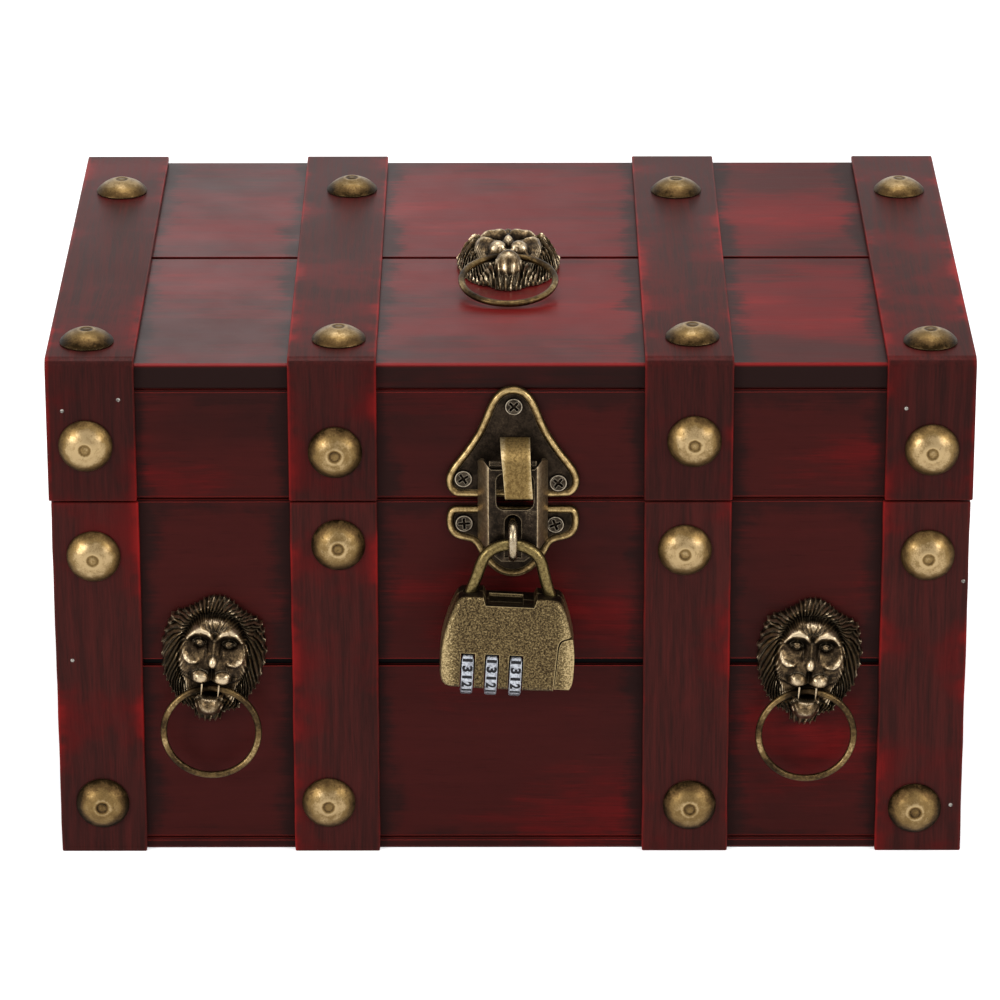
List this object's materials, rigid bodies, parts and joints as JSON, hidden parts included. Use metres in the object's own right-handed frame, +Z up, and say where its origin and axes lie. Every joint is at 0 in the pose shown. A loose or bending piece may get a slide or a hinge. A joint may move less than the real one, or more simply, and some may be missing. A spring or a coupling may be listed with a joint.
{
  "type": "wooden storage box",
  "caption": "Small wooden chest with a hinged lid, strap battens, dome studs, lion head ring pulls and a combination padlock on its hasp.",
  "frame": {"origin": "centre of the underside of the bottom board", "axes": "+X to the viewer's right, the front with the padlock faces -Y, +Z up"},
  "size_m": [0.2212, 0.1721, 0.1358],
  "materials": {
    "stained_wood": "satin",
    "strap_wood": "satin",
    "antique_brass": "antique",
    "steel": "satin",
    "dial_silver": "satin"
  },
  "bodies": {
    "chest_body": {"bottom_board": "stained_wood", "front_wall": "stained_wood", "back_wall": "stained_wood", "left_wall": "stained_wood", "right_wall": "stained_wood", "body_strap_1": "strap_wood", "body_strap_2": "strap_wood", "body_strap_3": "strap_wood", "body_strap_4": "strap_wood", "body_stud_1": "antique_brass", "body_stud_2": "antique_brass", "body_stud_3": "antique_brass", "body_stud_4": "antique_brass", "body_stud_5": "antique_brass", "body_stud_6": "antique_brass", "body_stud_7": "antique_brass", "body_stud_8": "antique_brass", "latch_lower_plate": "antique_brass", "latch_staple": "antique_brass", "lion_left": "antique_brass", "lion_right": "antique_brass", "hinge_body_leaf_left": "antique_brass", "hinge_body_leaf_right": "antique_brass"},
    "lid": {"lid_board": "stained_wood", "lid_front_rail": "stained_wood", "lid_back_rail": "stained_wood", "lid_left_rail": "stained_wood", "lid_right_rail": "stained_wood", "lid_strap_1": "strap_wood", "lid_strap_2": "strap_wood", "lid_strap_3": "strap_wood", "lid_strap_4": "strap_wood", "lid_stud_1": "antique_brass", "lid_stud_2": "antique_brass", "lid_stud_3": "antique_brass", "lid_stud_4": "antique_brass", "lid_stud_5": "antique_brass", "lid_stud_6": "antique_brass", "lid_stud_7": "antique_brass", "lid_stud_8": "antique_brass", "lid_stud_9": "antique_brass", "lid_stud_10": "antique_brass", "lid_stud_11": "antique_brass", "lid_stud_12": "antique_brass", "latch_upper_plate": "antique_brass", "lion_top": "antique_brass", "hinge_lid_leaf_left": "antique_brass", "hinge_lid_leaf_right": "antique_brass"},
    "hasp_flap": {"hasp_flap": "antique_brass"},
    "ring_left": {"ring_left": "antique_brass"},
    "ring_right": {"ring_right": "antique_brass"},
    "ring_top": {"ring_top": "antique_brass"},
    "padlock_shackle": {"padlock_shackle": "antique_brass"},
    "padlock_case": {"padlock_front_shell": "antique_brass", "padlock_back_shell": "antique_brass", "dial_spindle": "steel"},
    "dial_1": {"dial_1": "dial_silver"},
    "dial_2": {"dial_2": "dial_silver"},
    "dial_3": {"dial_3": "dial_silver"},
    "release_slider": {"release_slider": "antique_brass"}
  },
  "joints": [
    {"name": "lid_hinge", "type": "hinge", "parent": "chest_body", "child": "lid", "pos_m": [0, 0.0784, 0.09225], "axis": [-1, 0, 0], "range_deg": [0, 105]},
    {"name": "padlock_off", "type": "slide", "parent": "chest_body", "child": "padlock_shackle", "axis": [0, -1, 0], "range_m": [0, 0.08]},
    {"name": "hasp_swing", "type": "hinge", "parent": "lid", "child": "hasp_flap", "pos_m": [0.0005, -0.08225, 0.10295], "axis": [-1, 0, 0], "range_deg": [0, 150]},
    {"name": "ring_left_swing", "type": "hinge", "parent": "chest_body", "child": "ring_left", "pos_m": [-0.0727, -0.0817, 0.0453], "axis": [-1, 0, 0], "range_deg": [-10, 110]},
    {"name": "ring_right_swing", "type": "hinge", "parent": "chest_body", "child": "ring_right", "pos_m": [0.0716, -0.0817, 0.0443], "axis": [-1, 0, 0], "range_deg": [-10, 110]},
    {"name": "ring_top_swing", "type": "hinge", "parent": "lid", "child": "ring_top", "pos_m": [-0.0005, -0.0149, 0.1324], "axis": [-1, 0, 0], "range_deg": [0, 120]},
    {"name": "case_slide", "type": "slide", "parent": "padlock_shackle", "child": "padlock_case", "axis": [-0.0506, 0, -0.9987], "range_m": [0, 0.007]},
    {"name": "dial_1_turn", "type": "hinge", "parent": "padlock_case", "child": "dial_1", "pos_m": [-0.01051, -0.0855, 0.05257], "axis": [0.9987, 0, -0.0506], "continuous": true},
    {"name": "dial_2_turn", "type": "hinge", "parent": "padlock_case", "child": "dial_2", "pos_m": [-0.00472, -0.0855, 0.05227], "axis": [0.9987, 0, -0.0506], "continuous": true},
    {"name": "dial_3_turn", "type": "hinge", "parent": "padlock_case", "child": "dial_3", "pos_m": [0.00107, -0.0855, 0.05198], "axis": [0.9987, 0, -0.0506], "continuous": true},
    {"name": "release_slide", "type": "slide", "parent": "padlock_case", "child": "release_slider", "axis": [0.9987, 0, -0.0506], "range_m": [0, 0.002], "stiffness_N_per_m": 250, "springref_m": -0.001}
  ],
  "couplings": [
    {"joint": "hasp_swing", "follows": "padlock_off", "rad_per_m": 32.724}
  ]
}
